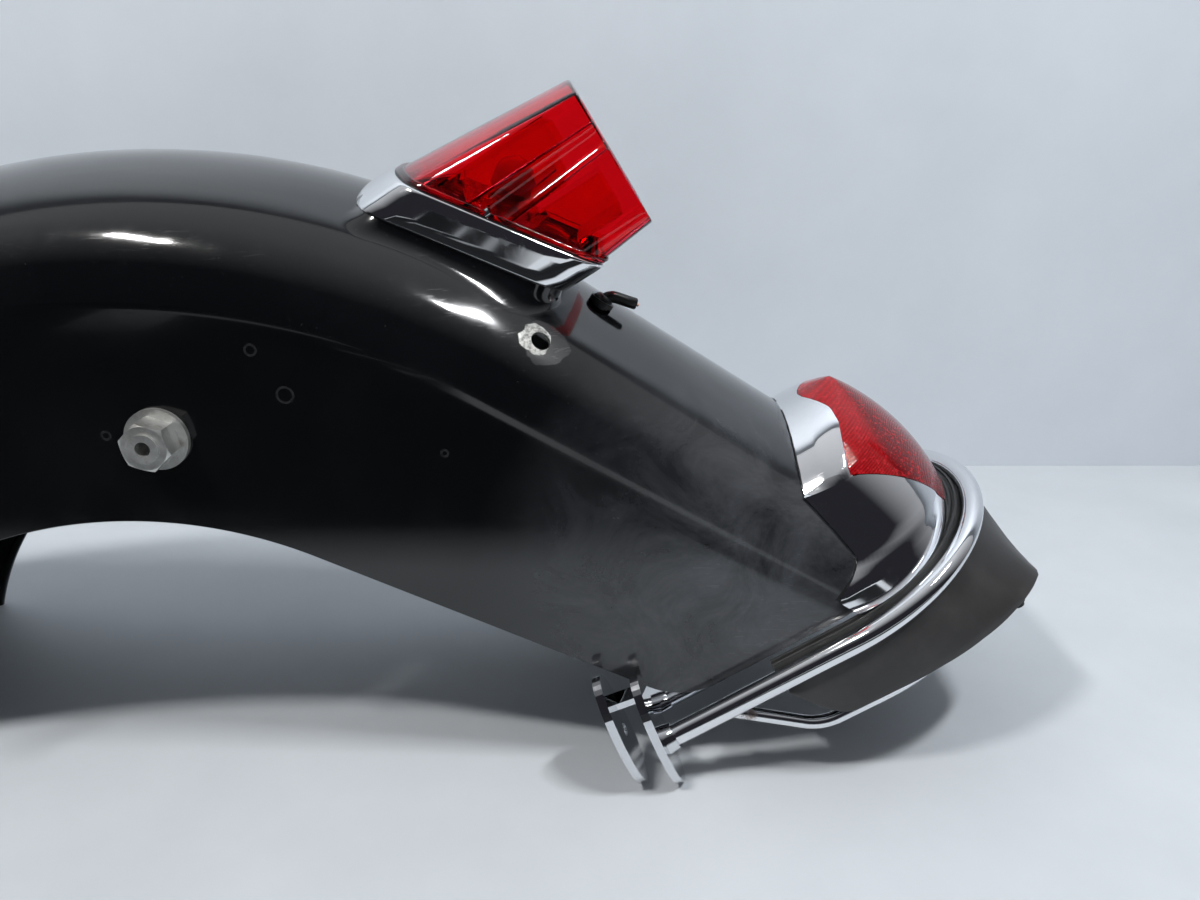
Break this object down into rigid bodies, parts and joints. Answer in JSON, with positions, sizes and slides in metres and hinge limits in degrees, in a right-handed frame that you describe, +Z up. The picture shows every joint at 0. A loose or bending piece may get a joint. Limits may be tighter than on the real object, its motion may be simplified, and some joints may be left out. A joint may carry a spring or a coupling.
{
  "type": "motorcycle rear fender",
  "caption": "Deep black rear fender for a cruiser motorcycle with a chrome-based tail lamp, a chrome tip lamp, round chrome bumper rails and bolt-on flange brackets",
  "frame": {"origin": "middle of the base at bench height, under the middle of the whole part's length and width, lying as in the picture", "axes": "+X runs from the front edge to the bumper end, +Y across the fender away from the side that the picture shows, +Z up from the bench"},
  "size_m": [0.9691, 0.26, 0.3945],
  "materials": {
    "gloss_black_paint": "gloss",
    "chrome_plate": "polished",
    "worn_zinc": "satin",
    "red_lens": "gloss",
    "black_rubber": "matte",
    "black_plastic": "satin",
    "bulb_glass": "gloss",
    "reflector_plate": "gloss",
    "copper_strands": "satin",
    "cable_sheath": "satin"
  },
  "bodies": {
    "root": {"fender_shell": "gloss_black_paint", "support_studs": "worn_zinc", "support_washers": "worn_zinc", "support_nuts": "worn_zinc", "lamp_boss": "gloss_black_paint", "lamp_base": "chrome_plate", "lamp_seal": "black_rubber", "lamp_lens": "red_lens", "lamp_reflector": "reflector_plate", "lamp_socket": "black_plastic", "lamp_bulb": "bulb_glass", "lamp_screws": "chrome_plate", "lead_grommet": "black_rubber", "lead_stub": "cable_sheath", "lead_cores": "copper_strands", "tip_housing": "chrome_plate", "tip_lens": "red_lens", "tip_seal": "black_rubber", "tip_socket": "black_plastic", "tip_bulb": "bulb_glass", "upper_rail": "chrome_plate", "lower_rail": "chrome_plate", "rail_collars": "chrome_plate", "rail_trim": "black_rubber", "filler_panel": "black_plastic", "filler_screws": "black_plastic", "bracket_left": "chrome_plate", "bracket_right": "chrome_plate", "gusset_left": "chrome_plate", "gusset_right": "chrome_plate"}
  },
  "joints": []
}
